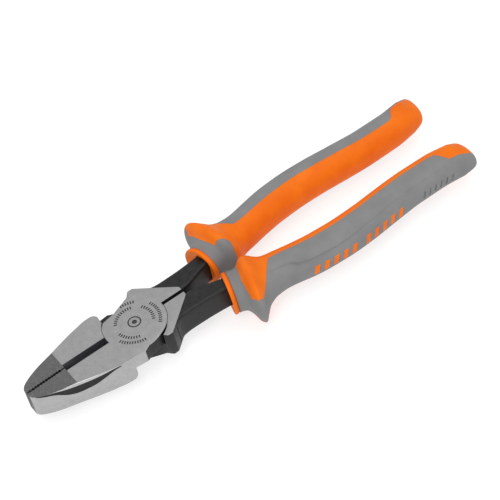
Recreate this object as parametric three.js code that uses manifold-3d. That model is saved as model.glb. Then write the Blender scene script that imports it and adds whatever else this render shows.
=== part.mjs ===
// Insulated lineman's pliers: two crossing forged halves on one rivet, each with a two-material grip.
// Millimetres. +Z up, jaws toward -X, handles toward +X, jaws closed.
// The origin is on the pivot axis, at the head's back face.

import * as THREE from "three";
import { mergeVertices } from "three/addons/utils/BufferGeometryUtils.js";
import Module from "manifold-3d";

const wasm = await Module();
wasm.setup();

// ---------- driving dimensions ----------

const HEAD_HALF = 7.15; // half of the head's thickness
const CLEARANCE = 0.15; // half of the gap between two neighbouring pieces
const GAP = 2 * CLEARANCE;

const TIP_X = -61.4; // front end of the nose
const CUTTER_FRONT_X = -40; // where the nose's flat grip ends and the cutting edges start
const CUTTER_OPEN = 2.2; // from the mid plane to the cutter's rim, at the head's faces
const HUB_R = 16.0; // round bearing face of each half
const FLANK_HALF = 4.2; // half height of the jaw's ground flank, between its two bevels
const TANG_HALF = 6.8; // half height of the black handle bars where they leave the head
const SLOT_HALF = 1.0; // half width of the slot between the two rear points
const TOOTH_PITCH = 1.5;
const TOOTH_DEPTH = 0.5;
const TOOTH_COUNT = 12;

const RIVET_R = 5.5;
const RIVET_HEAD_R = 7.0;
const RIVET_HEAD_DEPTH = 1.6;
const ROUND_SIDES = 28; // sides of the rivet and the collars

const COLLAR_X = 44.6;
const COLLAR_LENGTH = 2.5;
const COLLAR_R = 10.5;
const COLLAR_Y = 12.4;
const COLLAR_ROUND = 0.7;

const SLEEVE_WALL = 1.2; // insulating sleeve between the steel and the grip
const SLEEVE_X = 54.5;
const SLEEVE_END_X = 167;
const TANG_END_X = 164;

const GRIP_X = 47.4;
const GRIP_END_X = 185.6;
const GRIP_SIDES = 20;
const GRIP_SQUARENESS = 2.25; // 2 is an ellipse, more is squarer
const END_BLUNTNESS = 0.6; // 1 is a round end, less is flatter
const END_TURN = 0.6; // how far the end's centre moves outward
const CLEAR_OF_GRIP = 25; // a cutting region reaches this far above and below

const BAR_COUNT = 10;
const BAR_FIRST_X = 86;
const BAR_PITCH = 5.3;
const BAR_GROUP = 5; // the row is two groups of bars
const BAR_GROUP_GAP = 3.2; // added to the pitch between the two groups
const BAR_LENGTH = 2.8;
const BAR_HEIGHT = 5.6;
const BAR_DEPTH = 1.6;
const BAR_PROUD = 0.25;
const BAR_Z = 1.0; // the row sits off the half's mid plane, on the side of its hub
const BAR_SLANT = -0.25;

// The grip's centre line and half sizes at stations along X: distance of its centre from the mid plane,
// half width away from the other handle, half width toward it, and half height.
const GRIP_STATIONS = [
  { x: GRIP_X, centre: 12.7, outer: 9.6, inner: 9.7, high: 10.1 },
  { x: 50.6, centre: 13.5, outer: 10.0, inner: 9.8, high: 9.9 },
  { x: 52.6, centre: 14.1, outer: 13.2, inner: 10.2, high: 10.9 },
  { x: 54.6, centre: 14.8, outer: 18.2, inner: 11.9, high: 14.6 },
  { x: 56.4, centre: 15.4, outer: 19.3, inner: 13.0, high: 15.8 },
  { x: 59.0, centre: 15.9, outer: 15.6, inner: 13.0, high: 14.2 },
  { x: 62.0, centre: 16.2, outer: 11.6, inner: 11.7, high: 11.8 },
  { x: 66.0, centre: 16.5, outer: 9.9, inner: 10.1, high: 10.3 },
  { x: 71.0, centre: 17.0, outer: 9.5, inner: 9.5, high: 9.9 },
  { x: 82.0, centre: 19.3, outer: 9.7, inner: 9.6, high: 9.8 },
  { x: 94.0, centre: 21.1, outer: 9.7, inner: 9.6, high: 9.8 },
  { x: 107.0, centre: 21.8, outer: 9.6, inner: 9.5, high: 9.8 },
  { x: 119.0, centre: 21.3, outer: 9.3, inner: 9.2, high: 9.7 },
  { x: 134.0, centre: 20.0, outer: 9.0, inner: 9.0, high: 9.6 },
  { x: 150.0, centre: 18.9, outer: 8.9, inner: 8.8, high: 9.2 },
  { x: 164.0, centre: 19.0, outer: 8.9, inner: 8.8, high: 8.9 },
  { x: 178.0, centre: 20.6, outer: 8.6, inner: 8.5, high: 8.5 },
];
const LEAN = 0.27; // the collar, neck and finger guard lean forward on their outer side
const LEAN_FULL_TO = 60;
const LEAN_END = 73;

// The bar inside the grip: distance of its two sides from the mid plane, and half height.
const TANG_STATIONS = [
  { x: 22, inner: 1.3, outer: 12.7, high: TANG_HALF },
  { x: 31, inner: 1.5, outer: 12.9, high: TANG_HALF },
  { x: 39, inner: 4.0, outer: 13.3, high: TANG_HALF },
  { x: 47, inner: 6.6, outer: 14.2, high: 6.7 },
  { x: 58, inner: 10.2, outer: 17.6, high: 5.8 },
  { x: 70, inner: 13.2, outer: 20.4, high: 5.0 },
  { x: 94, inner: 17.8, outer: 24.4, high: 4.4 },
  { x: 119, inner: 18.2, outer: 24.4, high: 4.2 },
  { x: 150, inner: 16.0, outer: 21.6, high: 4.0 },
  { x: 178, inner: 17.6, outer: 22.6, high: 3.6 },
];
const TANG_CORNER = 0.28; // corner cut, as a share of the bar's smaller half size

// ---------- materials ----------

const steel = new THREE.MeshStandardMaterial({ color: 0xb4b4b2, roughness: 0.35, metalness: 0.9 });
const rivetSteel = new THREE.MeshStandardMaterial({ color: 0xa8a8a6, roughness: 0.32, metalness: 0.9 });
const orange = new THREE.MeshStandardMaterial({ color: 0xf47a1c, roughness: 0.5, metalness: 0 });
const grey = new THREE.MeshStandardMaterial({ color: 0x87888a, roughness: 0.6, metalness: 0 });
const white = new THREE.MeshStandardMaterial({ color: 0xeeeeea, roughness: 0.5, metalness: 0 });

// ---------- helpers ----------

// A closed solid through rings of points, each ring counter-clockwise as seen from the next one.
// `flat` gives the two coordinates in which the end rings are triangulated.
function loft(rings, flat) {
  const sides = rings[0].length;
  const index = [];
  for (let ring = 0; ring + 1 < rings.length; ring += 1) {
    for (let side = 0; side < sides; side += 1) {
      const a = ring * sides + side;
      const b = ring * sides + ((side + 1) % sides);
      index.push(a, b, b + sides, a, b + sides, a + sides);
    }
  }
  const last = (rings.length - 1) * sides;
  for (const [a, b, c] of THREE.ShapeUtils.triangulateShape(rings[0].map(flat), [])) {
    index.push(c, b, a);
  }
  for (const [a, b, c] of THREE.ShapeUtils.triangulateShape(rings.at(-1).map(flat), [])) {
    index.push(a + last, b + last, c + last);
  }
  const geometry = new THREE.BufferGeometry().setFromPoints(rings.flat());
  geometry.setIndex(index);
  return solid(geometry);
}

const acrossX = (point) => new THREE.Vector2(point.y, point.z);
const acrossZ = (point) => new THREE.Vector2(point.x, point.y);

// A three.js geometry as a solid that can be joined and cut.
function solid(source) {
  const geometry = source.clone();
  geometry.deleteAttribute("normal");
  geometry.deleteAttribute("uv");
  const merged = mergeVertices(geometry, 1e-4);
  const vertProperties = new Float32Array(merged.attributes.position.array);
  const triVerts = new Uint32Array(merged.index.array);
  return new wasm.Manifold(new wasm.Mesh({ numProp: 3, vertProperties, triVerts }));
}

// An outline in the XY plane, pulled up from one height to another.
function prism(outline, low, high) {
  const shape = outline instanceof THREE.Shape ? outline : new THREE.Shape(outline);
  const options = { depth: high - low, bevelEnabled: false, curveSegments: 14 };
  return solid(new THREE.ExtrudeGeometry(shape, options).translate(0, 0, low));
}

function piece(name, body, material) {
  const { vertProperties, triVerts } = body.getMesh();
  const geometry = new THREE.BufferGeometry();
  geometry.setAttribute("position", new THREE.BufferAttribute(vertProperties, 3));
  geometry.setIndex(new THREE.BufferAttribute(triVerts, 1));
  geometry.computeVertexNormals();
  const mesh = new THREE.Mesh(geometry, material);
  mesh.name = name;
  return mesh;
}

const point = (x, y) => new THREE.Vector2(x, y);

function onCircle(radius, degrees) {
  const angle = THREE.MathUtils.degToRad(degrees);
  return point(radius * Math.cos(angle), radius * Math.sin(angle));
}

function arc(radiusFrom, radiusTo, from, to, steps) {
  return Array.from({ length: steps + 1 }, (_, step) => {
    const share = step / steps;
    return onCircle(radiusFrom + (radiusTo - radiusFrom) * share, from + (to - from) * share);
  });
}

// A row of stations read at any x: each value runs straight from one station to the next.
function stationAt(stations, x) {
  const found = stations.findIndex((station) => station.x > x);
  const next = found < 0 ? stations.length - 1 : Math.max(found, 1);
  const before = stations[next - 1];
  const after = stations[next];
  const share = (x - before.x) / (after.x - before.x);
  const mixed = {};
  for (const key of Object.keys(before)) {
    mixed[key] = THREE.MathUtils.lerp(before[key], after[key], share);
  }
  return mixed;
}

// ---------- one forged half: its jaw on the -Y side, its handle on the +Y side ----------
// It fills the upper half of the head's thickness at the pivot. The other half is the same
// forging turned over about X, so it fills the lower half there.

// The jaw's outer edge from the nose back: at the head's faces, and on the ground flank between them.
const JAW_EDGE = [
  { x: TIP_X, face: 2.9, flank: 2.9 },
  { x: -60.4, face: 4.35, flank: 4.4 },
  { x: -57.0, face: 6.6, flank: 6.75 },
  { x: -51.0, face: 8.9, flank: 9.5 },
  { x: -46.5, face: 10.2, flank: 11.7 },
  { x: -42.0, face: 11.4, flank: 13.3 },
  { x: -37.0, face: 12.9, flank: 14.7 },
  { x: -32.0, face: 14.4, flank: 15.9 },
  { x: -27.0, face: 15.8, flank: 16.7 },
  { x: -22.5, face: 16.8, flank: 17.2 },
  { x: -18.0, face: 17.7, flank: 17.8 },
  { x: -14.6, face: 17.8, flank: 17.8 },
  { x: -12.6, face: 16.9, flank: 16.9 },
  { x: -11.7, face: 15.4, flank: 15.4 },
];
const NECK_CORNER = point(-5.8, -18.9);
const SEAT_R = HUB_R + GAP;
const SEAT_WIDE_R = 17.5; // the seat widens toward the shoulder so that the tool can open
const NECK_R = 17.2;

function jawOutline(z, edge) {
  const outer = JAW_EDGE.map((station) => point(station.x, -station[edge]));
  const seat = arc(SEAT_R, SEAT_R, 221, 187.7, 6);
  const inner = [
    point(CUTTER_FRONT_X, -CUTTER_OPEN),
    point(CUTTER_FRONT_X, -CLEARANCE),
    point(TIP_X, -CLEARANCE),
  ];
  return [...outer, ...seat, ...inner].map(({ x, y }) => new THREE.Vector3(x, y, z));
}

function jaw() {
  const levels = [
    [-HEAD_HALF, "face"],
    [-FLANK_HALF, "flank"],
    [FLANK_HALF, "flank"],
    [HEAD_HALF, "face"],
  ];
  return loft(levels.map(([z, edge]) => jawOutline(z, edge)), acrossZ);
}

// Bevelled from both faces to an edge at mid height.
function cuttingEdge() {
  const backY = -4;
  const section = [
    [backY, -HEAD_HALF],
    [-CUTTER_OPEN, -HEAD_HALF],
    [-CLEARANCE, 0],
    [-CUTTER_OPEN, HEAD_HALF],
    [backY, HEAD_HALF],
  ];
  const ends = [CUTTER_FRONT_X, -(SEAT_R + 0.1)];
  return loft(ends.map((x) => section.map(([y, z]) => new THREE.Vector3(x, y, z))), acrossX);
}

function toothCut() {
  const first = CUTTER_FRONT_X - 2 - TOOTH_COUNT * TOOTH_PITCH;
  const outline = [point(first, 1), point(first, -CLEARANCE)];
  for (let tooth = 0; tooth < TOOTH_COUNT; tooth += 1) {
    outline.push(point(first + (tooth + 0.5) * TOOTH_PITCH, -CLEARANCE - TOOTH_DEPTH));
    outline.push(point(first + (tooth + 1) * TOOTH_PITCH, -CLEARANCE));
  }
  outline.push(point(first + TOOTH_COUNT * TOOTH_PITCH, 1));
  return prism(outline, -HEAD_HALF - 1, HEAD_HALF + 1);
}

const REAR_POINT = [point(27.9, SLOT_HALF), point(27.9, 2.9), point(26.9, 4.0)];
const SHOULDER = [point(10.0, 18.2), point(8.9, 18.7), point(7.8, 18.1)];

// The neck, the round bearing face and the flat behind it, in this half's own layer.
function hubLayer() {
  const outline = [
    point(-24, -CUTTER_OPEN),
    point(-24, -16.2),
    point(-18, -17.7),
    NECK_CORNER,
    ...arc(NECK_R, HUB_R, -98, -70, 4),
    ...arc(HUB_R, HUB_R, -66, 3.5, 12),
    ...REAR_POINT,
    ...SHOULDER,
    point(5.2, 15.4),
    point(-5.1, 11.3),
    ...arc(HUB_R, HUB_R, 139, 187.7, 9),
  ];
  return prism(outline, CLEARANCE, HEAD_HALF);
}

// Full thickness behind the other half's bearing face.
function rearBlock() {
  const seat = arc(SEAT_WIDE_R, SEAT_R, 70, 42, 4).concat(arc(SEAT_R, SEAT_R, 38, 3.5, 6));
  return prism([...REAR_POINT, ...SHOULDER, ...seat], -HEAD_HALF, HEAD_HALF);
}

// The black root of the handle bar, a step below the ground faces.
function tangRoot() {
  const outline = [point(24, 6.2), point(24, 12.7), point(21, 12.8), point(17, 13.3), point(15, 14.3)];
  return prism(outline, -TANG_HALF, TANG_HALF);
}

function tangRing(station, grow) {
  const { inner, outer, high } = station;
  const cut = TANG_CORNER * Math.min((outer - inner) / 2, high);
  const near = inner - grow;
  const far = outer + grow;
  const top = high + grow;
  const corners = [
    [far, -top + cut],
    [far, top - cut],
    [far - cut, top],
    [near + cut, top],
    [near, top - cut],
    [near, -top + cut],
    [near + cut, -top],
    [far - cut, -top],
  ];
  return corners.map(([y, z]) => new THREE.Vector3(station.x, y, z));
}

// The bar's solid between two places along X, made `grow` larger all round.
function tangSolid(fromX, toX, grow) {
  const between = TANG_STATIONS.filter((station) => station.x > fromX + 1 && station.x < toX - 1);
  const ends = [fromX, toX].map((x) => stationAt(TANG_STATIONS, x));
  const stations = [ends[0], ...between, ends[1]];
  return loft(stations.map((station) => tangRing(station, grow)), acrossX);
}

// Countersunk at both faces and ground flush; made `grow` larger all round it is its own hole.
function rivetSolid(grow) {
  const half = HEAD_HALF + grow;
  const shank = HEAD_HALF - RIVET_HEAD_DEPTH;
  const profile = [
    point(0, -half),
    point(RIVET_HEAD_R + grow, -half),
    point(RIVET_R + grow, -shank),
    point(RIVET_R + grow, shank),
    point(RIVET_HEAD_R + grow, half),
    point(0, half),
  ];
  return solid(new THREE.LatheGeometry(profile, ROUND_SIDES).rotateX(Math.PI / 2));
}

function forging() {
  return jaw()
    .add(cuttingEdge())
    .subtract(toothCut())
    .add(hubLayer())
    .add(rearBlock())
    .add(tangRoot())
    .add(tangSolid(TANG_STATIONS[0].x, TANG_END_X, 0))
    .subtract(rivetSolid(GAP));
}

// ---------- one grip ----------

const leanAt = (x) => LEAN * (1 - THREE.MathUtils.smoothstep(x, LEAN_FULL_TO, LEAN_END));
const rounded = (value) => Math.sign(value) * Math.abs(value) ** (2 / GRIP_SQUARENESS);

function gripRing(station) {
  return Array.from({ length: GRIP_SIDES }, (_, side) => {
    const angle = (2 * Math.PI * side) / GRIP_SIDES;
    const across = rounded(Math.cos(angle));
    const offset = across * (across > 0 ? station.outer : station.inner);
    const x = station.x - leanAt(station.x) * offset;
    return new THREE.Vector3(x, station.centre + offset, station.high * rounded(Math.sin(angle)));
  });
}

function gripSolid() {
  const stations = [...GRIP_STATIONS];
  const last = GRIP_STATIONS.at(-1);
  for (const degrees of [22, 42, 60, 74, 83]) {
    const angle = THREE.MathUtils.degToRad(degrees);
    const size = Math.cos(angle) ** END_BLUNTNESS;
    stations.push({
      x: last.x + (GRIP_END_X - last.x) * Math.sin(angle),
      centre: last.centre + END_TURN * Math.sin(angle),
      outer: last.outer * size,
      inner: last.inner * size,
      high: last.high * size,
    });
  }
  return loft(stations.map(gripRing), acrossX);
}

// The part of the plan that the grey overmould takes: the neck all round, and the outer side.
// `inset` draws its edge back from the orange core.
function shellRegion(inset) {
  const partingInward = 2.2; // the two colours meet this far inward of the grip's middle
  const parting = [];
  for (let x = 76; x <= 164; x += 11) {
    parting.push(point(x, stationAt(GRIP_STATIONS, x).centre - partingInward + inset));
  }
  const outline = [
    point(40, -12),
    point(60.4 - inset, -12),
    point(60.2 - inset, 8.2 - inset),
    point(53.1 - inset, 9.4 - inset),
    point(49.4 - inset, 29.0),
    point(50.6 - inset, 31.4 + inset),
    point(54.2, 31.4 + inset),
    point(63.0, 20.7 + inset),
    point(68.8, 15.0 + inset),
    ...parting,
    point(170.5, 24.2 + inset),
    point(181, 26.2 + inset),
    point(GRIP_END_X + 3, 27 + inset),
    point(GRIP_END_X + 3, 60),
    point(40, 60),
  ];
  return prism(outline, -CLEAR_OF_GRIP, CLEAR_OF_GRIP);
}

function collar() {
  const ring = (x, radius) =>
    Array.from({ length: ROUND_SIDES }, (_, side) => {
      const angle = (2 * Math.PI * side) / ROUND_SIDES;
      const offset = radius * Math.cos(angle);
      return new THREE.Vector3(x - LEAN * offset, COLLAR_Y + offset, radius * Math.sin(angle));
    });
  const body = loft(
    [
      ring(COLLAR_X, COLLAR_R - COLLAR_ROUND),
      ring(COLLAR_X + COLLAR_ROUND, COLLAR_R),
      ring(COLLAR_X + COLLAR_LENGTH - COLLAR_ROUND, COLLAR_R),
      ring(COLLAR_X + COLLAR_LENGTH, COLLAR_R - COLLAR_ROUND),
    ],
    acrossX,
  );
  return body.subtract(tangSolid(COLLAR_X - 6, COLLAR_X + COLLAR_LENGTH + 6, GAP));
}

function sleeve() {
  const outside = tangSolid(SLEEVE_X, SLEEVE_END_X, GAP + SLEEVE_WALL);
  return outside.subtract(tangSolid(SLEEVE_X - 3, SLEEVE_END_X - SLEEVE_WALL, GAP));
}

function gripCavity() {
  const aroundTang = tangSolid(GRIP_X - 6, SLEEVE_X + 3, GAP);
  return aroundTang.add(tangSolid(SLEEVE_X - GAP, SLEEVE_END_X + GAP, SLEEVE_WALL + 2 * GAP));
}

// A slanted bar that shows through the overmould on the grip's outer side. `margin` is added all
// round and `reach` outward, for the pocket that it sits in.
function bar(number, margin, reach) {
  const x = BAR_FIRST_X + BAR_PITCH * number + (number < BAR_GROUP ? 0 : BAR_GROUP_GAP);
  const { centre, outer } = stationAt(GRIP_STATIONS, x);
  const before = stationAt(GRIP_STATIONS, x - 1);
  const after = stationAt(GRIP_STATIONS, x + 1);
  const slope = Math.atan2(after.centre + after.outer - before.centre - before.outer, 2);
  const size = [BAR_LENGTH + 2 * margin, BAR_DEPTH + 2 * margin + reach, BAR_HEIGHT + 2 * margin];
  const box = new THREE.BoxGeometry(...size);
  box.applyMatrix4(new THREE.Matrix4().makeShear(0, 0, 0, 0, BAR_SLANT, 0));
  box.rotateZ(slope).translate(x, centre + outer + BAR_PROUD + (reach - BAR_DEPTH) / 2, BAR_Z);
  return solid(box);
}

function addGrip(group, side) {
  const cavity = gripCavity();
  const body = gripSolid();
  let shell = body.intersect(shellRegion(CLEARANCE)).subtract(cavity);
  for (let number = 0; number < BAR_COUNT; number += 1) {
    shell = shell.subtract(bar(number, GAP, 2));
    group.add(piece(`grip_bar_${side}_${number + 1}`, bar(number, 0, 0), orange));
  }
  group.add(piece(`collar_${side}`, collar(), orange));
  group.add(piece(`insulating_sleeve_${side}`, sleeve(), white));
  group.add(piece(`grip_core_${side}`, body.subtract(shellRegion(-CLEARANCE)).subtract(cavity), orange));
  group.add(piece(`grip_shell_${side}`, shell, grey));
}

// ---------- the whole tool ----------

const pliers = new THREE.Group();
pliers.position.z = HEAD_HALF;

for (const side of ["a", "b"]) {
  const half = new THREE.Group();
  half.rotation.x = side === "b" ? Math.PI : 0;
  half.add(piece(`forging_${side}`, forging(), steel));
  addGrip(half, side);
  pliers.add(half);
}
pliers.add(piece("pivot_rivet", rivetSolid(0), rivetSteel));

export default pliers;
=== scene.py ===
"""Insulated lineman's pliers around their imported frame: ground and black-forged steel, two-colour grips.

Shapes are worked out in millimetres in one half's own frame: X from the jaws to the handles, Y across
the jaws, z = 0 at the head's mid thickness, this half's jaw on -Y and its handle on +Y. Half b is built
the same way and turned over about X, except that both jaws have their scoop on the tool's upper face.
Every finished mesh is then brought to metres in the frame.
"""

import math

import bpy
from mathutils import Matrix, Vector


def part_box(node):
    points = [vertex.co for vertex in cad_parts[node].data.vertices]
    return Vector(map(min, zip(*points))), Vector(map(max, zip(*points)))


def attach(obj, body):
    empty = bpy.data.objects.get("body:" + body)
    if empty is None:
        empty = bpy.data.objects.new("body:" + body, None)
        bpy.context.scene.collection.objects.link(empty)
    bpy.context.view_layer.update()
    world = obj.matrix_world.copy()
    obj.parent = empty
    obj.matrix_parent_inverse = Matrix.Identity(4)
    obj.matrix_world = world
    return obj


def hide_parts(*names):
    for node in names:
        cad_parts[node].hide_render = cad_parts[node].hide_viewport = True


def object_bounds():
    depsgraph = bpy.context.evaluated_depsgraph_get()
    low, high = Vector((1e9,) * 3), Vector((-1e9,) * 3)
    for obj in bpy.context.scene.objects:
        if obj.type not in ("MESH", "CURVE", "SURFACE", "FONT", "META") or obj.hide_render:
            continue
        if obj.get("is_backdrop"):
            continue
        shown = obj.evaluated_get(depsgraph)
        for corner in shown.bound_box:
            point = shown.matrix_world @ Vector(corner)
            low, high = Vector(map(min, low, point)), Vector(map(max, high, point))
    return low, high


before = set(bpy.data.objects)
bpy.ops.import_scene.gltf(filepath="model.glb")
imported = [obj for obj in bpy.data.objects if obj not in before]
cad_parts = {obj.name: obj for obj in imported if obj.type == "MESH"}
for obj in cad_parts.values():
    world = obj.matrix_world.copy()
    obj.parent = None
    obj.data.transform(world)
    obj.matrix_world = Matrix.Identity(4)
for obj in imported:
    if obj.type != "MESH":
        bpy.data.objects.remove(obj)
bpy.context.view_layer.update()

# ---------- measures ----------

MM = 0.001


def box_mm(node):
    """The lowest and highest corners of a CAD node, in millimetres."""
    low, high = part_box(node)
    return Vector(low) / MM, Vector(high) / MM


RIVET_LOW, RIVET_HIGH = box_mm("pivot_rivet")
MID = (RIVET_LOW.z + RIVET_HIGH.z) / 2
HEAD_HALF = (RIVET_HIGH.z - RIVET_LOW.z) / 2
TIP_X = box_mm("forging_a")[0].x
GRIP_END_X = box_mm("grip_core_a")[1].x

SEAM = 0.03  # half of the gap between two neighbouring pieces
OVERCUT = 0.5  # a stamp's cutting solid stands this far out of the face
JAW_GAP = 0.4  # half of the gap between the closed jaws
JOINT_GAP = 0.15  # the fine line around the round bearing face
EDGE_ROUND = 0.16
SMOOTH_TO = 32  # degrees between two faces up to which the edge is shaded smooth

CUTTER_FRONT_X = -40
CUTTER_OPEN = 2.2
CUTTER_BACK_Y = -5
HUB_R = 16.0
SEAT_R = HUB_R + JOINT_GAP
SEAT_WIDE_R = 17.5
NECK_R = 17.2
SLOT_HALF = 1.0
NOSE_DROP = 0.55  # the nose's faces fall this far from the cutters to the tip
SCOOP_DEPTH_RATIO = 2.3  # how far down the forged scoop reaches for each mm that it is wide
SCOOP_LIP = 0.25  # the lip's share of the scoop; the lip gets a brighter steel as a painted highlight
SCOOP_FROM = 0.16  # the scoop is finished as one where it is wider than this
SCOOP_PROFILE = [(0, 0), (0.22, 0.07), (0.4, SCOOP_LIP), (0.48, 0.5), (0.68, 0.72), (0.84, 0.9), (1, 1)]
BEVEL_PROFILE = [(0, 0), (0.04, 0.1), (0.14, 0.3), (0.32, 0.5), (0.55, 0.7), (0.78, 0.86), (1, 1)]
TOOTH_PITCH = 1.5
TOOTH_DEPTH = 0.5
TOOTH_COUNT = 12
RIVET_R = 5.5
RIVET_HEAD_R = 7.0
RIVET_HEAD_DEPTH = 1.6
STAMP_DEPTH = 0.2
STROKE_LENGTH = 1.7
STROKE_WIDTH = 0.65
EMBLEM_R = 3.4
EMBLEM_RING = 0.7
EMBLEM_DOT_R = 1.3

COLLAR_X = 44.6
COLLAR_LENGTH = 2.5
COLLAR_OUT = 9.3
COLLAR_IN = 10.4
COLLAR_HIGH = 11.0
COLLAR_DISH = 0.9
COLLAR_Y = 12.4

GRIP_X = 47.15
SLEEVE_X = 54.5
SLEEVE_END_X = 167
TANG_END_X = 164
TANG_SQUARENESS = 9
TANG_SIDES = 40
TANG_ROOM = 0.3  # the grip's front and the collar stand off the bare bar by this much
SLEEVE_ROOM = 1.85  # and further back by this much, which leaves room for the sleeve
GRIP_SQUARENESS = 2.25
GRIP_SIDES = 120
GUARD_END_X = 76
END_START_X = 176.5
END_ROUND = 0.8  # the last ring stops this far short of the end
END_TAPER = 0.42
END_LEAN = 0.06  # the end is cut a little shorter on its inner side
LEAN = 0.27  # the collar and guard lean forward on their outer side
LEAN_FULL_TO = 60
LEAN_END = 73
PARTING_INWARD = 2.2
PARTING_END_X = 164
REGION_FRONT_X = 40
REGION_LOW_Y = -12
REGION_HIGH_Y = 60
PATCH_LOW_Z = -6.5
GRIP_REACH = 25  # higher than any part of the grip
BAR_LENGTH = 2.8
BAR_HEIGHT = 5.6
BAR_SLANT = -0.25
BAR_ROOT = 1.5
BAR_PROUD = 0.1
BAR_FIT = 0.1  # how much longer and higher a bar's pocket is than the bar
GROOVE_X = 152
GROOVE_PITCH = 3.4
GROOVE_COUNT = 6
GROOVE_LENGTH = 1.1
GROOVE_HEIGHT = 4.2
GROOVE_MIDDLE_Z = 0.5
GROOVE_DEPTH = 0.3
ABOVE_SKIN = 2  # a pocket's or groove's cutting solid stands this far out of the grip

# The jaw's outer edge: at the head's faces, and on the ground flank between them.
JAW_EDGE = [
    {"x": TIP_X, "face": 2.9, "flank": 2.9},
    {"x": -60.4, "face": 4.3, "flank": 4.4},
    {"x": -57.0, "face": 6.45, "flank": 6.8},
    {"x": -51.0, "face": 8.9, "flank": 9.6},
    {"x": -46.5, "face": 10.2, "flank": 11.7},
    {"x": -42.0, "face": 11.4, "flank": 13.3},
    {"x": -37.0, "face": 12.9, "flank": 14.7},
    {"x": -32.0, "face": 14.4, "flank": 15.9},
    {"x": -27.0, "face": 15.8, "flank": 16.7},
    {"x": -22.5, "face": 16.8, "flank": 17.2},
    {"x": -18.0, "face": 17.7, "flank": 17.8},
    {"x": -14.6, "face": 17.8, "flank": 17.8},
    {"x": -12.6, "face": 16.9, "flank": 16.9},
    {"x": -11.7, "face": 15.4, "flank": 15.4},
]

# The steel bar inside the grip.
TANG_STATIONS = [
    {"x": 14.5, "inner": 9.5, "outer": 15.0, "high": 6.8},
    {"x": 17, "inner": 4.5, "outer": 13.4, "high": 6.8},
    {"x": 22, "inner": 1.3, "outer": 12.8, "high": 6.8},
    {"x": 31, "inner": 1.5, "outer": 12.9, "high": 6.8},
    {"x": 39, "inner": 4.0, "outer": 13.3, "high": 6.8},
    {"x": 47, "inner": 6.6, "outer": 14.2, "high": 6.7},
    {"x": 58, "inner": 10.2, "outer": 17.6, "high": 5.8},
    {"x": 70, "inner": 13.2, "outer": 20.4, "high": 5.0},
    {"x": 94, "inner": 17.8, "outer": 24.4, "high": 4.4},
    {"x": 119, "inner": 18.2, "outer": 24.4, "high": 4.2},
    {"x": 150, "inner": 16.0, "outer": 21.6, "high": 4.0},
    {"x": 178, "inner": 17.6, "outer": 22.6, "high": 3.6},
]

# The grip: its centre's distance from the mid plane and its half sizes outward, inward and in height.
GRIP_STATIONS = [
    {"x": GRIP_X, "centre": 12.7, "outer": 9.0, "inner": 9.7, "high": 10.1},
    {"x": 50.6, "centre": 13.5, "outer": 10.0, "inner": 9.8, "high": 9.9},
    {"x": 52.6, "centre": 14.1, "outer": 13.2, "inner": 10.2, "high": 10.9},
    {"x": 54.6, "centre": 14.8, "outer": 18.0, "inner": 11.9, "high": 14.6},
    {"x": 56.4, "centre": 15.4, "outer": 19.3, "inner": 13.0, "high": 15.8},
    {"x": 59.0, "centre": 15.9, "outer": 15.6, "inner": 13.0, "high": 14.2},
    {"x": 62.0, "centre": 16.2, "outer": 11.6, "inner": 11.7, "high": 11.8},
    {"x": 66.0, "centre": 16.5, "outer": 9.9, "inner": 10.1, "high": 10.3},
    {"x": 71.0, "centre": 17.0, "outer": 9.5, "inner": 9.5, "high": 9.9},
    {"x": 82.0, "centre": 19.3, "outer": 9.7, "inner": 9.6, "high": 9.8},
    {"x": 94.0, "centre": 21.1, "outer": 9.7, "inner": 9.6, "high": 9.8},
    {"x": 107.0, "centre": 21.8, "outer": 9.6, "inner": 9.5, "high": 9.8},
    {"x": 119.0, "centre": 21.3, "outer": 9.3, "inner": 9.2, "high": 9.7},
    {"x": 134.0, "centre": 20.0, "outer": 9.0, "inner": 9.0, "high": 9.6},
    {"x": 150.0, "centre": 18.9, "outer": 8.9, "inner": 8.8, "high": 9.2},
    {"x": 164.0, "centre": 19.0, "outer": 8.9, "inner": 8.8, "high": 8.9},
    {"x": 178.0, "centre": 20.6, "outer": 8.6, "inner": 8.5, "high": 8.5},
    {"x": 186.0, "centre": 21.6, "outer": 8.4, "inner": 8.4, "high": 8.2},
]

# A soft crease runs along the grip's outer side: its angle from straight outward toward -Z, along X.
CREASE_STATIONS = [
    {"x": 60, "degrees": 64, "depth": 0},
    {"x": 67, "degrees": 61, "depth": 0.35},
    {"x": 75, "degrees": 57, "depth": 0.6},
    {"x": 79, "degrees": 46, "depth": 0.7},
    {"x": 88, "degrees": 41, "depth": 0.7},
    {"x": 105, "degrees": 42, "depth": 0.55},
    {"x": 122, "degrees": 46, "depth": 0.25},
    {"x": 165, "degrees": 48, "depth": 0.15},
    {"x": 178, "degrees": 48, "depth": 0},
]
CREASE_WIDTH = 5  # degrees over which the surface steps down into the panel
CREASE_LIP = 0.8  # the height of the proud lip along the crease, as a share of the crease's depth
CREASE_LIP_WIDTH = 2.8
PANEL_FADE = (8, 20)  # degrees past the crease's angle, on the panel's other side, where it fades out

CAMERA_ANGLES = (-22.595, 47.47, -16.3)  # azimuth, elevation and roll
CAMERA_TARGET = (0.06881, 0.00382, MID * MM)
CAMERA_DISTANCE = 1.12957
CAMERA_SENSOR = 36
CAMERA_LENS = 168
LIGHT_TARGET = (0.06, 0, MID * MM)
FLOOR_HALF = 6
FLOOR_GAP = 0.0002


# ---------- curves and outlines ----------

FILLET_STEPS = 6
EDGE_STEPS = 4


def slope_at(stations, place, key):
    """The slope of a smooth run through stations that never overshoots them."""
    if place in (0, len(stations) - 1):
        return 0.0
    before, here, after = stations[place - 1:place + 2]
    left = (here[key] - before[key]) / (here["x"] - before["x"])
    right = (after[key] - here[key]) / (after["x"] - here["x"])
    return 2 * left * right / (left + right) if left * right > 0 else 0.0


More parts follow.
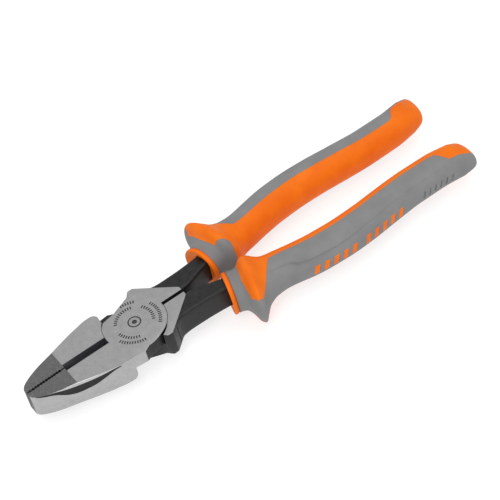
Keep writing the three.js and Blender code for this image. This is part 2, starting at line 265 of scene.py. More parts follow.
def along(stations, x):
    """Every value of the stations at x, on smooth curves through them."""
    x = min(max(x, stations[0]["x"]), stations[-1]["x"])
    place = max(i for i in range(len(stations) - 1) if stations[i]["x"] <= x)
    start, end = stations[place], stations[place + 1]
    span = end["x"] - start["x"]
    t = (x - start["x"]) / span
    values = {"x": x}
    for key in start:
        if key == "x":
            continue
        rise_start = slope_at(stations, place, key) * span
        rise_end = slope_at(stations, place + 1, key) * span
        values[key] = (
            start[key] * (2 * t**3 - 3 * t**2 + 1)
            + rise_start * (t**3 - 2 * t**2 + t)
            + end[key] * (3 * t**2 - 2 * t**3)
            + rise_end * (t**3 - t**2)
        )
    return values


def spread(start, end, count):
    """Evenly spaced values with both ends."""
    return [start + (end - start) * step / (count - 1) for step in range(count)]


def smoothstep(value, low, high):
    share = min(max((value - low) / (high - low), 0), 1)
    return share * share * (3 - 2 * share)


def squared(value, squareness):
    """Turns a sine or cosine into a superellipse's."""
    return math.copysign(abs(value) ** (2 / squareness), value)


def on_circle(radius, degrees):
    angle = math.radians(degrees)
    return Vector((radius * math.cos(angle), radius * math.sin(angle)))


def arc(radius_from, radius_to, start, end, count):
    return [
        on_circle(radius_from + (radius_to - radius_from) * share, start + (end - start) * share)
        for share in spread(0, 1, count)
    ]


def filleted(corners, steps=FILLET_STEPS):
    """A closed outline whose corners (x, y, radius) are rounded off."""
    outline = []
    for place, (x, y, radius) in enumerate(corners):
        corner = Vector((x, y))
        before = Vector(corners[place - 1][:2]) - corner
        after = Vector(corners[(place + 1) % len(corners)][:2]) - corner
        if radius == 0:
            outline.append(corner)
            continue
        half_angle = before.angle(after) / 2
        reach = min(radius / math.tan(half_angle), 0.45 * before.length, 0.45 * after.length)
        start = corner + before.normalized() * reach
        end = corner + after.normalized() * reach
        for t in spread(0, 1, steps):
            outline.append(start * (1 - t) ** 2 + corner * 2 * t * (1 - t) + end * t**2)
    return outline


def inset(outline, distance):
    """The outline moved inward by a distance, corners mitred."""
    moved = []
    for place, corner in enumerate(outline):
        before = (corner - outline[place - 1]).normalized()
        after = (outline[(place + 1) % len(outline)] - corner).normalized()
        inward_before = Vector((-before.y, before.x))
        inward_after = Vector((-after.y, after.x))
        blend = inward_before + inward_after
        moved.append(corner + blend * (distance / max(1 + inward_before.dot(inward_after), 0.5)))
    return moved


# ---------- meshes ----------


def mesh_object(name, vertices, faces):
    mesh = bpy.data.meshes.new(name)
    mesh.from_pydata([tuple(vertex) for vertex in vertices], [], faces)
    obj = bpy.data.objects.new(name, mesh)
    bpy.context.collection.objects.link(obj)
    return obj


def loft(name, rings):
    """A closed solid through rings, each counter-clockwise as seen from the next one."""
    sides = len(rings[0])
    faces = []
    for ring in range(len(rings) - 1):
        for side in range(sides):
            a = ring * sides + side
            b = ring * sides + (side + 1) % sides
            faces.append((a, b, b + sides, a + sides))
    last = (len(rings) - 1) * sides
    faces.append(tuple(reversed(range(sides))))
    faces.append(tuple(range(last, last + sides)))
    return mesh_object(name, [vertex for ring in rings for vertex in ring], faces)


def slab(name, outline, low, high, round_low=0, round_high=0):
    """An outline pulled up from one height to another, its edges rounded."""
    levels = []
    for turn in spread(90, 0, EDGE_STEPS) if round_low else [0]:
        angle = math.radians(turn)
        levels.append((low + round_low * (1 - math.sin(angle)), 1 - math.cos(angle), round_low))
    for turn in spread(0, 90, EDGE_STEPS) if round_high else [0]:
        angle = math.radians(turn)
        levels.append((high - round_high * (1 - math.sin(angle)), 1 - math.cos(angle), round_high))
    rings = []
    for z, share, radius in levels:
        ring = inset(outline, share * radius) if share * radius > 0 else outline
        rings.append([Vector((corner.x, corner.y, z)) for corner in ring])
    return loft(name, rings)


def settle(obj):
    """Applies the object's modifiers to its mesh."""
    graph = bpy.context.evaluated_depsgraph_get()
    mesh = bpy.data.meshes.new_from_object(obj.evaluated_get(graph), depsgraph=graph)
    obj.modifiers.clear()
    obj.data = mesh


def boolean(obj, other, operation):
    """Joins or cuts a solid with another, which is used up."""
    modifier = obj.modifiers.new("boolean", "BOOLEAN")
    modifier.solver = "MANIFOLD"
    modifier.operation = operation
    modifier.object = other
    settle(obj)
    bpy.data.objects.remove(other)
    return obj


def join_with(obj, *others):
    for other in others:
        boolean(obj, other, "UNION")
    return obj


def cut_with(obj, *others):
    for other in others:
        boolean(obj, other, "DIFFERENCE")
    return obj


def keep_within(obj, other):
    return boolean(obj, other, "INTERSECT")


def copy_of(obj):
    """A second object with a mesh of its own."""
    twin = obj.copy()
    twin.data = obj.data.copy()
    bpy.context.collection.objects.link(twin)
    return twin


def placed(obj, side):
    """Brings a half's mesh from its own millimetres to the frame, and shades it."""
    turn = Matrix.Rotation(math.pi if side == "b" else 0, 4, "X")
    obj.data.transform(Matrix.Scale(MM, 4) @ Matrix.Translation((0, 0, MID)) @ turn)
    obj.data.shade_smooth()
    obj.data.set_sharp_from_angle(angle=math.radians(SMOOTH_TO))
    return obj


def dressed(obj, material):
    """Gives the whole object one material."""
    obj.data.materials.clear()
    obj.data.materials.append(material)
    obj.data.polygons.foreach_set("material_index", [0] * len(obj.data.polygons))
    return obj


def finished(obj, side, node):
    """Makes the piece ride on its half and stand for a CAD node."""
    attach(obj, f"half_{side}")
    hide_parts(node)


# ---------- materials ----------


def surface(name, roughness, metallic=0.0):
    """A new material and its shader."""
    material = bpy.data.materials.new(name)
    material.use_nodes = True
    shader = material.node_tree.nodes["Principled BSDF"]
    shader.inputs["Roughness"].default_value = roughness
    shader.inputs["Metallic"].default_value = metallic
    return material, shader


def grain(material, size_mm, stretch=(1, 1, 1), detail=4):
    """Noise whose grains are about `size_mm` across, drawn out along the axes given in `stretch`."""
    nodes, links = material.node_tree.nodes, material.node_tree.links
    place = nodes.new("ShaderNodeTexCoord")
    mapping = nodes.new("ShaderNodeMapping")
    mapping.inputs["Scale"].default_value = [1 / (size_mm * MM * reach) for reach in stretch]
    texture = nodes.new("ShaderNodeTexNoise")
    texture.inputs["Scale"].default_value = 1
    texture.inputs["Detail"].default_value = detail
    links.new(place.outputs["Object"], mapping.inputs["Vector"])
    links.new(mapping.outputs["Vector"], texture.inputs["Vector"])
    return texture.outputs["Fac"]


def ramp(material, value, low, high, colour_low, colour_high):
    """A colour that runs from one to the other as the value goes from low to high."""
    nodes, links = material.node_tree.nodes, material.node_tree.links
    node = nodes.new("ShaderNodeValToRGB")
    node.color_ramp.elements[0].position = low
    node.color_ramp.elements[1].position = high
    node.color_ramp.elements[0].color = (*colour_low, 1)
    node.color_ramp.elements[1].color = (*colour_high, 1)
    links.new(value, node.inputs["Fac"])
    return node.outputs["Color"]


def bump(material, shader, value, height_mm, strength):
    nodes, links = material.node_tree.nodes, material.node_tree.links
    node = nodes.new("ShaderNodeBump")
    node.inputs["Strength"].default_value = strength
    node.inputs["Distance"].default_value = height_mm * MM
    links.new(value, node.inputs["Height"])
    if shader.inputs["Normal"].is_linked:
        links.new(shader.inputs["Normal"].links[0].from_socket, node.inputs["Normal"])
    links.new(node.outputs["Normal"], shader.inputs["Normal"])


def edge_mask(material, radius_mm):
    """Near 1 on edges, lightened as wear and as a painted highlight, and near 0 on open faces."""
    nodes, links = material.node_tree.nodes, material.node_tree.links
    rounded = nodes.new("ShaderNodeBevel")
    rounded.samples = 4
    rounded.inputs["Radius"].default_value = radius_mm * MM
    geometry = nodes.new("ShaderNodeNewGeometry")
    dot = nodes.new("ShaderNodeVectorMath")
    dot.operation = "DOT_PRODUCT"
    links.new(rounded.outputs["Normal"], dot.inputs[0])
    links.new(geometry.outputs["Normal"], dot.inputs[1])
    spread_out = nodes.new("ShaderNodeMapRange")
    spread_out.inputs["From Min"].default_value = 1.0
    spread_out.inputs["From Max"].default_value = 0.86
    links.new(dot.outputs["Value"], spread_out.inputs["Value"])
    return spread_out.outputs["Result"]


def mixed(material, factor, colour_a, colour_b):
    """Colour a where the factor is 0, colour b where it is 1; either may be a socket."""
    nodes, links = material.node_tree.nodes, material.node_tree.links
    node = nodes.new("ShaderNodeMix")
    node.data_type = "RGBA"
    sockets = [socket for socket in node.inputs if socket.type == "RGBA"]
    for socket, colour in zip(sockets, (colour_a, colour_b)):
        if isinstance(colour, bpy.types.NodeSocket):
            links.new(colour, socket)
        else:
            socket.default_value = (*colour, 1)
    links.new(factor, node.inputs[0])
    return next(socket for socket in node.outputs if socket.type == "RGBA")


def ground_steel(name, dark, light, roughness, lines):
    """Steel ground on a belt: fine lines drawn out along one axis, over a faint cloudiness."""
    material, shader = surface(name, roughness, metallic=1.0)
    links = material.node_tree.links
    fine = grain(material, 0.22, lines, detail=3)
    cloud = grain(material, 3.5, detail=5)
    colour = ramp(material, fine, 0.3, 0.7, dark, light)
    shade = ramp(material, cloud, 0.35, 0.7, (0.9, 0.9, 0.9), (1, 1, 1))
    tinted = material.node_tree.nodes.new("ShaderNodeVectorMath")
    tinted.operation = "MULTIPLY"
    links.new(colour, tinted.inputs[0])
    links.new(shade, tinted.inputs[1])
    links.new(tinted.outputs["Vector"], shader.inputs["Base Color"])
    bump(material, shader, fine, 0.02, 0.35)
    return material


def black_steel():
    """Forged steel with a thin black finish: uneven, a little glossy, lighter along its edges, partly as bare
    worn steel and partly as a painted highlight.
    """
    material, shader = surface("black_forged_steel", 0.42, metallic=0.4)
    links = material.node_tree.links
    forged = grain(material, 2.2, detail=6)
    skin = ramp(material, forged, 0.3, 0.75, (0.007, 0.007, 0.008), (0.022, 0.0225, 0.024))
    # Edges lightened toward bare steel: partly wear, partly a painted highlight.
    worn_and_highlit = mixed(material, edge_mask(material, 0.35), skin, (0.12, 0.12, 0.125))
    links.new(worn_and_highlit, shader.inputs["Base Color"])
    gloss = ramp(material, forged, 0.3, 0.7, (0.34, 0.34, 0.34), (0.55, 0.55, 0.55))
    links.new(gloss, shader.inputs["Roughness"])
    bump(material, shader, grain(material, 0.5, detail=6), 0.05, 0.5)
    return material


def moulded(name, colour_low, colour_high, roughness, texture_mm, strength):
    """Moulded grip material: an even colour with a faint cloudiness and a fine spark-eroded skin."""
    material, shader = surface(name, roughness)
    shader.inputs["Specular IOR Level"].default_value = 0.14
    links = material.node_tree.links
    cloud = grain(material, 9, detail=3)
    links.new(ramp(material, cloud, 0.3, 0.7, colour_low, colour_high), shader.inputs["Base Color"])
    skin = grain(material, texture_mm, detail=4)
    bump(material, shader, skin, 0.03, strength)
    low = (roughness - 0.05,) * 3
    high = (roughness + 0.07,) * 3
    links.new(ramp(material, skin, 0.3, 0.7, low, high), shader.inputs["Roughness"])
    return material


GROUND = ground_steel("ground_steel", (0.37, 0.37, 0.373), (0.47, 0.47, 0.47), 0.42, (6, 1, 1))
# The nose's faces: real cross-ground lines, on a darker tone than the ground steel that is painted shade for
# their tilted facet.
NOSE_SHADED = ground_steel("cross_ground_painted_shade_steel", (0.13, 0.13, 0.133), (0.22, 0.22, 0.22), 0.5, (1, 8, 1))
FLANK = ground_steel("flank_steel", (0.39, 0.39, 0.393), (0.48, 0.48, 0.48), 0.42, (6, 1, 1))
# A brighter copy of the ground steel for the scoop's lip: a painted highlight.
LIP_HIGHLIGHT = ground_steel("painted_highlight_edge_steel", (0.52, 0.52, 0.52), (0.62, 0.62, 0.62), 0.38, (8, 1, 1))
CUTTER = ground_steel("cutter_steel", (0.2, 0.205, 0.22), (0.3, 0.305, 0.32), 0.45, (6, 1, 1))
BLACK = black_steel()
MARK = ground_steel("stamped_steel", (0.05, 0.05, 0.052), (0.13, 0.13, 0.13), 0.6, (1, 1, 1))
ORANGE = moulded("orange_grip", (0.74, 0.132, 0.003), (0.81, 0.168, 0.004), 0.5, 0.35, 0.25)
GREY = moulded("grey_overmould", (0.187, 0.188, 0.19), (0.217, 0.218, 0.221), 0.62, 0.28, 0.4)
WHITE = moulded("white_sleeve", (0.75, 0.75, 0.72), (0.85, 0.85, 0.82), 0.5, 0.5, 0.2)
STEEL_FINISHES = [GROUND, NOSE_SHADED, FLANK, LIP_HIGHLIGHT, CUTTER, BLACK, MARK]


# ---------- one forged half ----------

NECK_CORNER = (-5.8, -18.9)
REAR_CORNERS = [(27.9, SLOT_HALF, 0), (27.9, 2.9, 0.5), (26.9, 4.0, 0.5)]
SHOULDER_CORNERS = [(10.3, 18.3, 1.0), (7.6, 18.4, 1.2)]
HUB_CORNER = (-9.3, 10.9, 2)
SEAT_START = 3.5  # degrees round the hub where the handle's side of the seat starts
SEAT_END = 187.7  # and where the jaw's side of it ends
FACE = HEAD_HALF


def scoop_floor(x):
    """How far below the head's face the forged scoop's lower edge lies on the jaw's outer side."""
    edge = along(JAW_EDGE, x)
    return 3 * EDGE_ROUND + SCOOP_DEPTH_RATIO * (edge["flank"] - edge["face"])


def scoop_side(side):
    """The face, along this half's own Z, on whose side the jaw has its forged scoop."""
    return 1 if side == "a" else -1


def jaw(side):
    """The jaw as rings stacked from the lower face to the upper, narrowed toward both."""
    xs = [TIP_X + 0.001] + spread(TIP_X + 0.25, JAW_EDGE[-1]["x"], 90)
    seat = arc(SEAT_R, SEAT_R, 221, SEAT_END, 16)

    def ring(share_out, share_down, sign):
        points = []
        for x in xs:
            edge = along(JAW_EDGE, x)
            y = edge["face"] + (edge["flank"] - edge["face"]) * share_out
            points.append(Vector((x, -y, sign * (FACE - scoop_floor(x) * share_down))))
        floor = scoop_floor(xs[-1])
        inner = [(CUTTER_FRONT_X, -CUTTER_OPEN), (CUTTER_FRONT_X, -JAW_GAP), (TIP_X, -JAW_GAP)]
        for corner in seat + [Vector(place) for place in inner]:
            points.append(Vector((corner.x, corner.y, sign * (FACE - floor * share_down))))
        return points

    profiles = {scoop_side(side): SCOOP_PROFILE, -scoop_side(side): BEVEL_PROFILE}
    below = [ring(out, down, -1) for out, down in profiles[-1]]
    above = [ring(out, down, 1) for out, down in reversed(profiles[1])]
    return loft("jaw", below + above)


def cutting_edge():
    """The wedge behind the jaw's flats that cuts."""
    section = [
        (CUTTER_BACK_Y, -FACE),
        (-CUTTER_OPEN, -FACE),
        (-SEAM, 0),
        (-CUTTER_OPEN, FACE),
        (CUTTER_BACK_Y, FACE),
    ]
    ends = [CUTTER_FRONT_X - 0.01, -(SEAT_R - 0.1)]
    return loft("edge", [[Vector((x, y, z)) for y, z in section] for x in ends])


def tooth_cut():
    """The grooves across the jaw's flat."""
    first = CUTTER_FRONT_X - 2 - TOOTH_COUNT * TOOTH_PITCH
    outline = [Vector((first, 1)), Vector((first, -JAW_GAP))]
    for tooth in range(TOOTH_COUNT):
        outline.append(Vector((first + (tooth + 0.5) * TOOTH_PITCH, -JAW_GAP - TOOTH_DEPTH)))
        outline.append(Vector((first + (tooth + 1) * TOOTH_PITCH, -JAW_GAP)))
    outline.append(Vector((first + TOOTH_COUNT * TOOTH_PITCH, 1)))
    return slab("teeth", outline, -FACE - 1, FACE + 1)


def nose_cut(sign):
    """A thin wedge over the nose, so that its face falls toward the tip."""
    front = TIP_X - 2
    drop = NOSE_DROP * (CUTTER_FRONT_X - front) / (CUTTER_FRONT_X - TIP_X)
    high = FACE + 1
    section = [(CUTTER_FRONT_X, FACE), (front, FACE - drop), (front, high), (CUTTER_FRONT_X, high)]
    sides = [-30, 5] if sign > 0 else [5, -30]
    return loft("nose", [[Vector((x, y, sign * z)) for x, z in section] for y in sides])


def hub_layer():
    """The hub's layer on +Z, with the jaw's root and the shoulder; its last corner only aims the run."""
    jaw_root = [(-24, -CUTTER_OPEN), (-24, -16.2), (-18, -17.7), NECK_CORNER]
    shoulder = filleted([*REAR_CORNERS, *SHOULDER_CORNERS, (5.2, 15.4, 2), (-5.1, 11.3, 1.5), HUB_CORNER])
    outline = [
        *[Vector(corner) for corner in jaw_root],
        *arc(NECK_R, HUB_R, -98, -70, 10),
        *arc(HUB_R, HUB_R, -68, SEAT_START, 44),
        *shoulder[:-FILLET_STEPS],
        *arc(HUB_R - 0.6, HUB_R, 139, 150, 5),
        *arc(HUB_R, HUB_R, 153, SEAT_END, 20),
    ]
    return slab("hub", outline, SEAM, FACE, 0, EDGE_ROUND)


def rear_block():
    """The block behind the hub, of full thickness, from which the handle bar leaves."""
    seat = arc(SEAT_WIDE_R, SEAT_R, 70, 42, 10) + arc(SEAT_R, SEAT_R, 40, SEAT_START, 24)
    outside = filleted([*REAR_CORNERS, *SHOULDER_CORNERS, (*seat[0], 0)])[:-1]
    return slab("rear", outside + seat, -FACE, FACE, EDGE_ROUND, EDGE_ROUND)


def tang(name, from_x, to_x, grow, count=60):
    """The handle's bar between two places along X, `grow` larger all round."""
    rings = []
    for x in spread(from_x, to_x, count):
        station = along(TANG_STATIONS, x)
        centre = (station["inner"] + station["outer"]) / 2
        wide = (station["outer"] - station["inner"]) / 2 + grow
        high = station["high"] + grow
        ring = []
        for side in range(TANG_SIDES):
            angle = 2 * math.pi * (side + 0.5) / TANG_SIDES
            y = centre + wide * squared(math.cos(angle), TANG_SQUARENESS)
            ring.append(Vector((x, y, high * squared(math.sin(angle), TANG_SQUARENESS))))
        rings.append(ring)
    return loft(name, rings)


def turned(name, profile, sides=96):
    """A solid of revolution about Z from (radius, z) pairs, lowest first."""
    rings = []
    for radius, z in profile:
        ring = [on_circle(radius, 360 * side / sides) for side in range(sides)]
        rings.append([Vector((corner.x, corner.y, z)) for corner in ring])
    return loft(name, rings)


def rivet(name, grow, ends):
    """The rivet's shank and its two countersunk heads, `grow` larger all round."""
    shank_z = FACE - RIVET_HEAD_DEPTH
    head_z = FACE - 0.01
    shank = RIVET_R + grow
    head = RIVET_HEAD_R + grow
    upper = [(shank, shank_z), (head, head_z), (head, ends)]
    lower = [(radius, -z) for radius, z in reversed(upper)]
    return turned(name, lower + upper)


def stroke(radius, degrees):
    """One short straight stroke stamped in the hub's face, along its radius."""
    middle = on_circle(radius, degrees)
    outward = on_circle(1, degrees)
    half_long = outward * STROKE_LENGTH / 2
    half_wide = Vector((-outward.y, outward.x)) * STROKE_WIDTH / 2
    corners = [(-1, -1), (1, -1), (1, 1), (-1, 1)]
    outline = [middle + half_long * a + half_wide * b for a, b in corners]
    return slab("stroke", outline, FACE - STAMP_DEPTH, FACE + OVERCUT)


def stamped_band(radius, start, end, pitch):
    """Equal strokes evenly spaced along an arc: a plain pattern in place of lettering."""
    count = round((end - start) / pitch) + 1
    return [stroke(radius, degrees) for degrees in spread(start, end, count)]


def stamped_marks():
    """Bands of plain strokes around the pivot."""
    lower = stamped_band(12.7, 205, 262, 5.7) + stamped_band(9.6, 190, 252, 7.75)
    rear = stamped_band(12.7, -42, 20, 5.6) + stamped_band(9.4, -30, 34, 8)
    upper = stamped_band(12.4, 60, 90, 6) + stamped_band(9.2, 70, 150, 8)
    return lower + rear + upper


def emblem_cut():
    """A plain ring around a dot, stamped in the rivet's end."""
    low, high = FACE - STAMP_DEPTH, FACE + OVERCUT
    ring = turned("ring", [(EMBLEM_R, low), (EMBLEM_R, high)], 64)
    hole = EMBLEM_R - EMBLEM_RING
    cut_with(ring, turned("middle", [(hole, low - 1), (hole, high + 1)], 64))
    return [ring, turned("dot", [(EMBLEM_DOT_R, low), (EMBLEM_DOT_R, high)], 48)]


def flush_rivet():
    """The rivet, ground flush with both faces, its stamped emblem darker than the ground steel."""
    body = dressed(cut_with(rivet("flush_rivet", 0, FACE), *emblem_cut()), GROUND)
    body.data.materials.append(MARK)
    for face in body.data.polygons:
        stamped = FACE - STAMP_DEPTH - 0.01 < face.center.z < FACE - 0.01
        face.material_index = 1 if stamped and face.center.xy.length < EMBLEM_R + 0.1 else 0
    return placed(body, "a")


def finish_of(centre, normal, side):
    """The finish of a spot on the forging, from where it lies and which way it faces."""
    height = abs(centre.z)
    if centre.x < TIP_X + 0.3 and normal.x < -0.8:
        return BLACK
    edge = along(JAW_EDGE, centre.x)
    if centre.y < -edge["face"] + 0.02 and centre.x < JAW_EDGE[-1]["x"]:
        share = (FACE - height) / scoop_floor(centre.x)
        scooped = edge["flank"] - edge["face"] > SCOOP_FROM
        if share >= 1 or not scooped or centre.z * scoop_side(side) < 0:
            return FLANK
        # The lip gets the brighter steel as a painted highlight; the rest of the scoop is black forged skin.
        return LIP_HIGHLIGHT if share < SCOOP_LIP * 1.05 else BLACK
    upward = abs(normal.z)
    # The nose's faces take the darker steel, painted shade for their tilted facet.
    if upward > 0.3 and height > FACE - NOSE_DROP - 0.1 and centre.x < CUTTER_FRONT_X:
        return NOSE_SHADED
    # Rounded edges beside a ground face take the ground steel, partly as its finish and partly as a painted
    # highlight along the rim.
    if upward > 0.3 and height > FACE - EDGE_ROUND - 0.02:
        return GROUND
    if centre.x < -(SEAT_R - 1) and abs(centre.y) < CUTTER_OPEN + 0.1:
        return CUTTER
    in_hub = Vector((centre.x, centre.y)).length < HUB_R - 0.5
    if in_hub and height > FACE - 0.4 and centre.z > 0:
        return MARK
    if centre.x < NECK_CORNER[0] - 0.05 and centre.y < -14:
        return FLANK
    return BLACK


def paint_forging(obj, side):
    obj.data.materials.clear()
    for finish in STEEL_FINISHES:
        obj.data.materials.append(finish)
    for face in obj.data.polygons:
        face.material_index = STEEL_FINISHES.index(finish_of(face.center, face.normal, side))


def forging(side):
    body = jaw(side)
    join_with(body, cutting_edge())
    cut_with(body, tooth_cut(), nose_cut(1), nose_cut(-1))
    join_with(body, hub_layer(), rear_block())
    join_with(body, tang("tang", TANG_STATIONS[0]["x"], TANG_END_X, 0))
    cut_with(body, rivet("hole", SEAM, FACE + 1), *stamped_marks())
    paint_forging(body, side)
    body.name = f"forged_half_{side}"
    return placed(body, side)


# ---------- one grip ----------


def lean_at(x):
    return LEAN * (1 - smoothstep(x, LEAN_FULL_TO, LEAN_END))


def panel_depth(x, degrees):
    """How far the outer side's panel lies below the plain surface; the lip at its crease stands proud."""
    crease = along(CREASE_STATIONS, x)
    past_crease = smoothstep(-degrees, crease["degrees"] - CREASE_WIDTH, crease["degrees"])
    faded = smoothstep(degrees, crease["degrees"] + PANEL_FADE[0], crease["degrees"] + PANEL_FADE[1])
    lip = math.exp(-(((-degrees - crease["degrees"] - 1) / CREASE_LIP_WIDTH) ** 2))
    return crease["depth"] * ((1 - past_crease) * (1 - faded) - CREASE_LIP * lip)


def grip_ring(station, wide=1.0, tall=1.0, end_lean=0.0):
    """The grip's outline at one station, leaning forward on its outer side near the guard."""
    ring = []
    for side in range(GRIP_SIDES):
        degrees = 360 * side / GRIP_SIDES
        angle = math.radians(degrees)
        signed = degrees if degrees <= 180 else degrees - 360
        sunk = panel_depth(station["x"], signed) if abs(signed) < 90 else 0
        across = squared(math.cos(angle), GRIP_SQUARENESS)
        offset = across * ((station["outer"] if across > 0 else station["inner"]) * wide - sunk)
        height = squared(math.sin(angle), GRIP_SQUARENESS) * (station["high"] * tall - sunk)
        x = station["x"] + (end_lean - lean_at(station["x"])) * offset
        ring.append(Vector((x, station["centre"] + offset, height)))
    return ring


def grip_body():
    """The whole grip as one solid, before it is parted into its two colours."""
    guard = spread(GRIP_X, GUARD_END_X, 56)
    handle = spread(GUARD_END_X + 0.8, END_START_X, 110)
    rings = [grip_ring(along(GRIP_STATIONS, x)) for x in guard + handle]
    for share in spread(0.06, 0.985, 22):
        reach = math.sin(share * math.pi / 2)
        x = END_START_X + (GRIP_END_X - END_ROUND - END_START_X) * reach
        wide = (1 - reach**6) ** 0.5
        tall = (1 - END_TAPER * reach) * wide
        rings.append(grip_ring(along(GRIP_STATIONS, x), wide, tall, END_LEAN * reach))
    return loft("grip", rings)


def inner_patch(step):
    """The patch of grey overmould on the guard's inner side, from its face on +Z down."""
    corners = [
        (50, REGION_LOW_Y, 0),
        (59.0, REGION_LOW_Y, 0),
        (61.4, 6.4, 1.0),
        (56.5, 8.9, 0.8),
        (54.2, 9.6, 0),
        (50, 9.6, 0),
    ]
    return slab("patch", inset(filleted(corners), step), PATCH_LOW_Z + step, GRIP_REACH)


def shell_region(step):
    """The part of the plan that the grey overmould takes, its edge moved by `step`."""
    corners = [
        (REGION_FRONT_X, REGION_LOW_Y, 0),
        (56.5, REGION_LOW_Y, 0),
        (54.2, 9.2, 0.6),
        (51.1, 18.0, 3),
        (49.6, 27.5, 3),
        (50.8, 32.2, 1.0),
        (53.0, 32.3, 0.8),
        (55.4, 30.0, 0.8),
        (60.8, 24.2, 5),
        (68.8, 14.9, 3),
    ]
    for x in spread(GUARD_END_X, PARTING_END_X, 45):
        corners.append((x, along(GRIP_STATIONS, x)["centre"] - PARTING_INWARD, 0))
    behind = GRIP_END_X + 3
    corners += [(167, 17.4, 2), (171.2, 24.0, 1.6), (181, 25.6, 3), (behind, 26.4, 0)]
    corners += [(behind, REGION_HIGH_Y, 0), (REGION_FRONT_X, REGION_HIGH_Y, 0)]
    region = slab("region", inset(filleted(corners), step), -GRIP_REACH, GRIP_REACH)
    return join_with(region, inner_patch(step))


def grip_cavity():
    """The room inside the grip for the bar and its sleeve."""
    front = tang("cavity", GRIP_X - 6, SLEEVE_X + 2, TANG_ROOM, 24)
    return join_with(front, tang("sleeve_room", SLEEVE_X - 0.4, SLEEVE_END_X + 0.4, SLEEVE_ROOM, 60))


def collar(side):
    """The ring of core material at the grip's front, its front face dished toward the bar."""
    profile = [(COLLAR_DISH, 0.66), (0.1, 0.9)]
    for turn in spread(15, 165, 11):
        angle = math.radians(turn)
        share = (1 - math.cos(angle)) / 2
        profile.append((COLLAR_LENGTH * share, 1 - 0.09 * (1 - squared(math.sin(angle), 2.6))))
    profile.append((COLLAR_LENGTH, 0.97))
    rings = []
    for along_x, share in profile:
        ring = []
        for degrees in spread(0, 360, 97)[:-1]:
            around = on_circle(share, degrees)
            offset = around.x * (COLLAR_OUT if around.x > 0 else COLLAR_IN)
            x = COLLAR_X + along_x - LEAN * offset
            ring.append(Vector((x, COLLAR_Y + offset, COLLAR_HIGH * around.y)))
        rings.append(ring)
    body = loft(f"grip_collar_{side}", rings)
    cut_with(body, tang("hole", COLLAR_X - 8, COLLAR_X + 8, TANG_ROOM, 16))
    return placed(dressed(body, ORANGE), side)


def outer_skin(x, z):
    """The y of the grip's outer surface at x and height z."""
    station = along(GRIP_STATIONS, x)
    share = min(abs(z) / station["high"], 1)
    rise = (1 - share**GRIP_SQUARENESS) ** (1 / GRIP_SQUARENESS)
    return station["centre"] + station["outer"] * rise - panel_depth(x, 0)


def skin_bar(name, x, middle_z, length, height, low, high):
    """A slanted bar that follows the grip's outer surface, between two distances from it."""
    signs = [(-1, -1), (1, -1), (1, 1), (-1, 1)]
    corners = filleted([(a * length / 2, b * height / 2, 0.5) for a, b in signs], 4)
    rings = []
    for distance, shrink in ((low, 1), (high - 0.12, 1), (high - 0.03, 0.97), (high, 0.9)):
        ring = []
        for corner in corners:
            z = middle_z + corner.y * shrink
            at = x + corner.x * shrink + BAR_SLANT * corner.y
            ring.append(Vector((at, outer_skin(at, z) + distance, z)))
        rings.append(ring)
    return loft(name, [list(reversed(ring)) for ring in rings])


def bar_places(side):
    """Each bar's node, x and height in the half's own frame, from the CAD."""
    places = []
    for node in sorted(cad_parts):
        if node.startswith(f"grip_bar_{side}_"):
            low, high = box_mm(node)
            height = (low.z + high.z) / 2 - MID
            places.append((node, (low.x + high.x) / 2, -height if side == "b" else height))
    return places


def rating_marks():
    """Shallow slanted grooves near the grip's end."""
    return [
        skin_bar("groove", x, GROOVE_MIDDLE_Z, GROOVE_LENGTH, GROOVE_HEIGHT, -GROOVE_DEPTH, ABOVE_SKIN)
        for x in (GROOVE_X + GROOVE_PITCH * number for number in range(GROOVE_COUNT))
    ]


def inlaid_bar(shell, node, side, x, z):
    """Sinks one orange bar in a pocket of the overmould."""
    pocket = skin_bar("pocket", x, z, BAR_LENGTH + BAR_FIT, BAR_HEIGHT + BAR_FIT, -BAR_ROOT - 0.1, ABOVE_SKIN)
    cut_with(shell, pocket)
    bar = skin_bar(f"slanted_{node}", x, z, BAR_LENGTH, BAR_HEIGHT, -BAR_ROOT, BAR_PROUD)
    finished(placed(dressed(bar, ORANGE), side), side, node)


def grip(side):
    """One grip: the overmould, its bars and the core, parted from one solid."""
    cavity = grip_cavity()
    shell = grip_body()
    core = copy_of(shell)
    spare_cavity = copy_of(cavity)
    keep_within(shell, shell_region(SEAM))
    cut_with(shell, cavity)
    cut_with(core, shell_region(-SEAM), spare_cavity)
    for node, x, z in bar_places(side):
        inlaid_bar(shell, node, side, x, z)
    cut_with(shell, *rating_marks())
    shell.name = f"overmould_{side}"
    core.name = f"handle_core_{side}"
    finished(placed(dressed(shell, GREY), side), side, f"grip_shell_{side}")
    finished(placed(dressed(core, ORANGE), side), side, f"grip_core_{side}")


# ---------- the pieces ----------

for half in ("a", "b"):
    finished(forging(half), half, f"forging_{half}")
    finished(collar(half), half, f"collar_{half}")
    grip(half)
    dressed(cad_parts[f"insulating_sleeve_{half}"], WHITE)

finished(flush_rivet(), "a", "pivot_rivet")


# ---------- floor, light and camera ----------


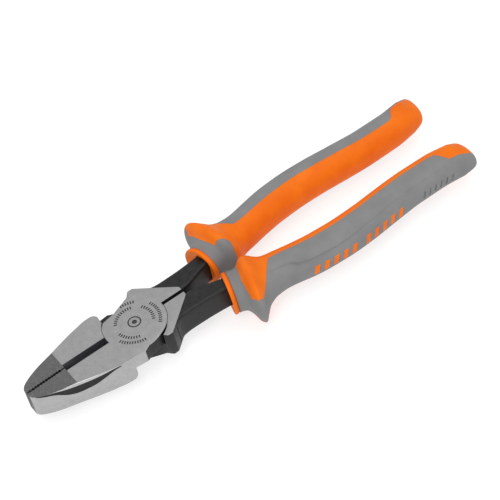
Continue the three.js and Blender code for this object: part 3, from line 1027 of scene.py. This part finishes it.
def floor():
    """A pale floor just below the object."""
    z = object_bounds()[0][2] - FLOOR_GAP
    corners = [(-1, -1), (1, -1), (1, 1), (-1, 1)]
    vertices = [(x * FLOOR_HALF, y * FLOOR_HALF, z) for x, y in corners]
    obj = mesh_object("floor", vertices, [(0, 1, 2, 3)])
    material, shader = surface("pale_floor", 0.9)
    shader.inputs["Base Color"].default_value = (0.35, 0.35, 0.35, 1)
    shader.inputs["Emission Color"].default_value = (1, 1, 1, 1)
    shader.inputs["Emission Strength"].default_value = 0.7
    obj.data.materials.append(material)
    obj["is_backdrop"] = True


def view_axes(azimuth, elevation, roll):
    """The camera's right, up and back directions for angles in degrees."""
    a, e, r = (math.radians(angle) for angle in (azimuth, elevation, roll))
    back = Vector((math.sin(a) * math.cos(e), -math.cos(a) * math.cos(e), math.sin(e)))
    level = Vector((math.cos(a), math.sin(a), 0))
    above = back.cross(level)
    right = math.cos(r) * level + math.sin(r) * above
    return right, math.cos(r) * above - math.sin(r) * level, back


def facing(target, distance, azimuth, elevation, roll=0):
    """The matrix of a camera or light that looks at a target from a distance."""
    right, up, back = view_axes(azimuth, elevation, roll)
    place = Matrix.Translation(Vector(target) + back * distance)
    return place @ Matrix((right, up, back)).transposed().to_4x4()


def camera():
    obj = bpy.data.objects.new("camera", bpy.data.cameras.new("camera"))
    bpy.context.collection.objects.link(obj)
    obj.matrix_world = facing(CAMERA_TARGET, CAMERA_DISTANCE, *CAMERA_ANGLES)
    obj.data.sensor_width = CAMERA_SENSOR
    obj.data.lens = CAMERA_LENS
    obj.data.clip_start = 0.01
    bpy.context.scene.camera = obj


def softbox(name, azimuth, elevation, distance, size, energy):
    """A square area light that faces the object."""
    light = bpy.data.lights.new(name, "AREA")
    light.size = size
    light.energy = energy
    obj = bpy.data.objects.new(name, light)
    bpy.context.collection.objects.link(obj)
    obj.matrix_world = facing(LIGHT_TARGET, distance, azimuth, elevation)


def studio_light():
    """White light from all round, and two softboxes."""
    world = bpy.data.worlds.new("studio")
    world.use_nodes = True
    background = world.node_tree.nodes["Background"]
    background.inputs["Color"].default_value = (1, 1, 1, 1)
    background.inputs["Strength"].default_value = 0.8
    bpy.context.scene.world = world
    softbox("front_softbox", -40, 55, 1.5, 0.6, 7)
    softbox("overhead_softbox", 60, 78, 1.5, 0.7, 4)


camera()
floor()
studio_light()
bpy.context.scene.view_settings.view_transform = "Standard"
